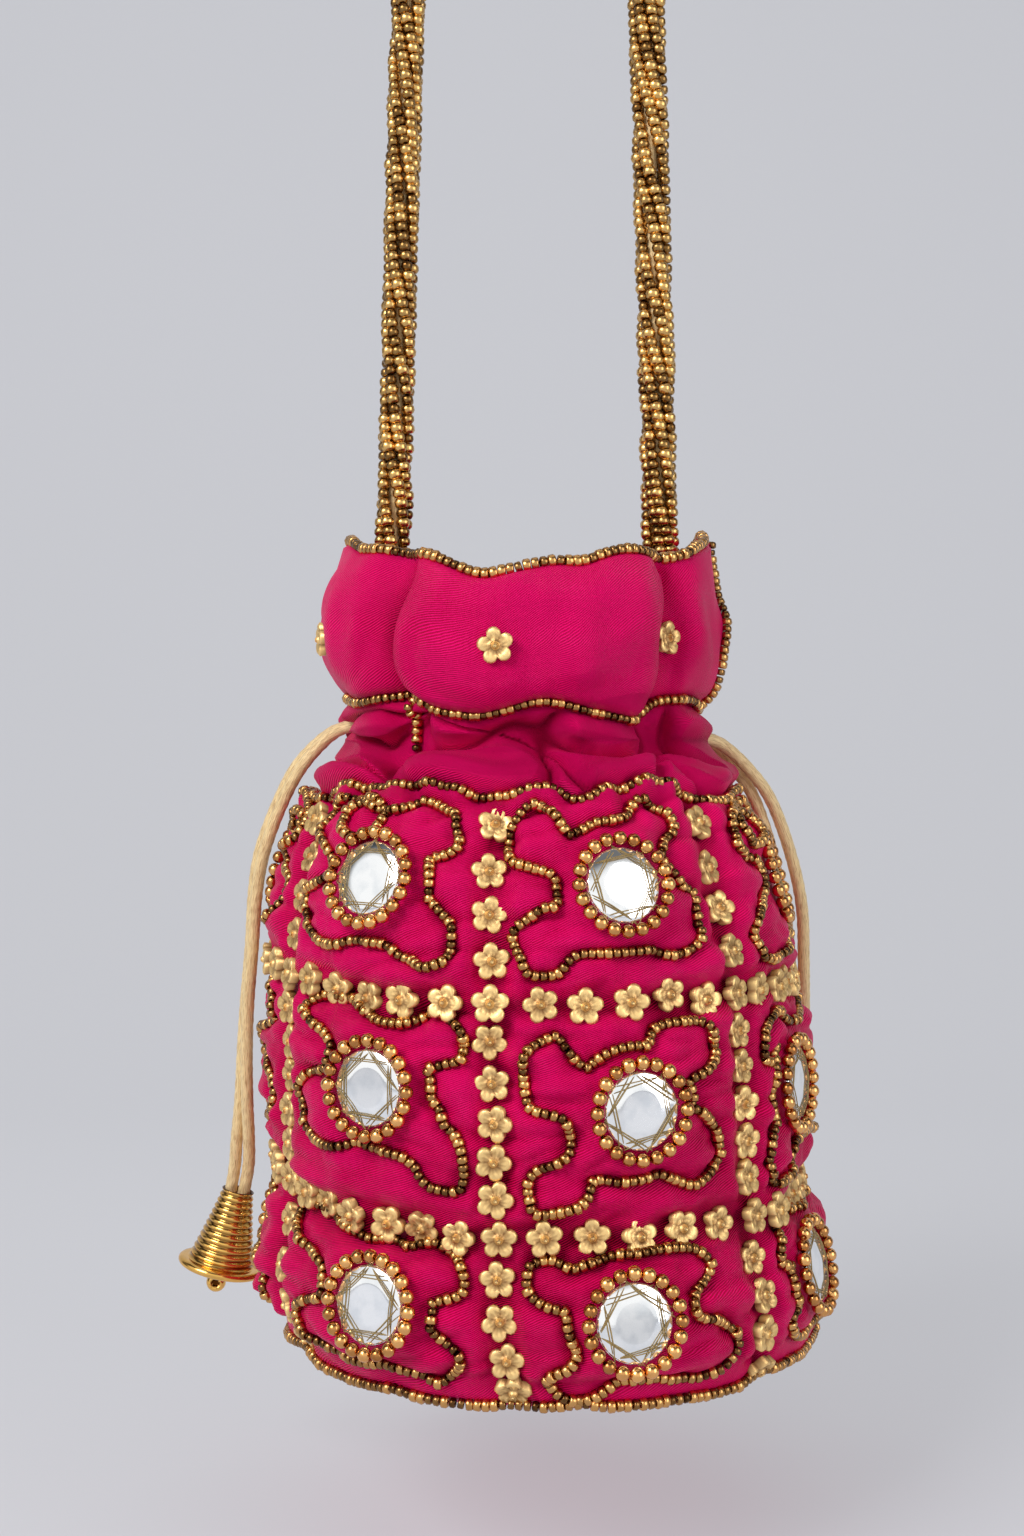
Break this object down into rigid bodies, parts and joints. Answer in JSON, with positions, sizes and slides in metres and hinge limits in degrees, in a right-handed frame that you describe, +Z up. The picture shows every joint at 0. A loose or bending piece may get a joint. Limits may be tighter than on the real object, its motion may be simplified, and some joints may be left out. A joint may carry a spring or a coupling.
{
  "type": "potli bag",
  "caption": "Round gathered satin pouch with beaded flower strings and small mirrors, a frilled collar, side drawcords with hanging bells and a bead rope hand loop",
  "frame": {"origin": "middle of the rope at the top of the handle loop, where a hand or a hook holds the bag", "axes": "+Z up as the bag hangs, -Y out of the front panel that faces the viewer, +X to the viewer's right"},
  "size_m": [0.1606, 0.1374, 0.37],
  "materials": {
    "satin": "plump rani pink satin with a fine diagonal weave",
    "lining": "plain pink lining cloth",
    "base_board": "stiff board inside the base",
    "flower_gold": "pale matt gold cast flower beads",
    "bell_gold": "shiny gold",
    "seed_beads": "antique bronze seed beads with a shiny gold ring of round beads",
    "mirror": "round sewn mirror with pale threads across its edge",
    "cord": "champagne gold twisted cord"
  },
  "bodies": {
    "root": {"base_beads": "seed_beads", "base_board": "base_board", "collar_frill": "satin", "collar_seam_beads": "seed_beads", "collar_side_beads": "seed_beads", "flower_net": "flower_gold", "handle_rope": "seed_beads", "left_bell": "bell_gold", "left_bell_pin": "bell_gold", "left_drawcord_turn": "cord", "left_inner_strand": "cord", "left_outer_strand": "cord", "lining": "lining", "mirror_high_1": "mirror", "mirror_high_2": "mirror", "mirror_high_3": "mirror", "mirror_high_4": "mirror", "mirror_high_5": "mirror", "mirror_high_6": "mirror", "mirror_low_1": "mirror", "mirror_low_2": "mirror", "mirror_low_3": "mirror", "mirror_low_4": "mirror", "mirror_low_5": "mirror", "mirror_low_6": "mirror", "mirror_middle_1": "mirror", "mirror_middle_2": "mirror", "mirror_middle_3": "mirror", "mirror_middle_4": "mirror", "mirror_middle_5": "mirror", "mirror_middle_6": "mirror", "mirror_setting_high_1": "seed_beads", "mirror_setting_high_2": "seed_beads", "mirror_setting_high_3": "seed_beads", "mirror_setting_high_4": "seed_beads", "mirror_setting_high_5": "seed_beads", "mirror_setting_high_6": "seed_beads", "mirror_setting_low_1": "seed_beads", "mirror_setting_low_2": "seed_beads", "mirror_setting_low_3": "seed_beads", "mirror_setting_low_4": "seed_beads", "mirror_setting_low_5": "seed_beads", "mirror_setting_low_6": "seed_beads", "mirror_setting_middle_1": "seed_beads", "mirror_setting_middle_2": "seed_beads", "mirror_setting_middle_3": "seed_beads", "mirror_setting_middle_4": "seed_beads", "mirror_setting_middle_5": "seed_beads", "mirror_setting_middle_6": "seed_beads", "pouch_shell": "satin", "pouch_top_beads": "seed_beads", "right_bell": "bell_gold", "right_bell_pin": "bell_gold", "right_drawcord_turn": "cord", "right_inner_strand": "cord", "right_outer_strand": "cord", "rim_beads": "seed_beads"}
  },
  "joints": []
}
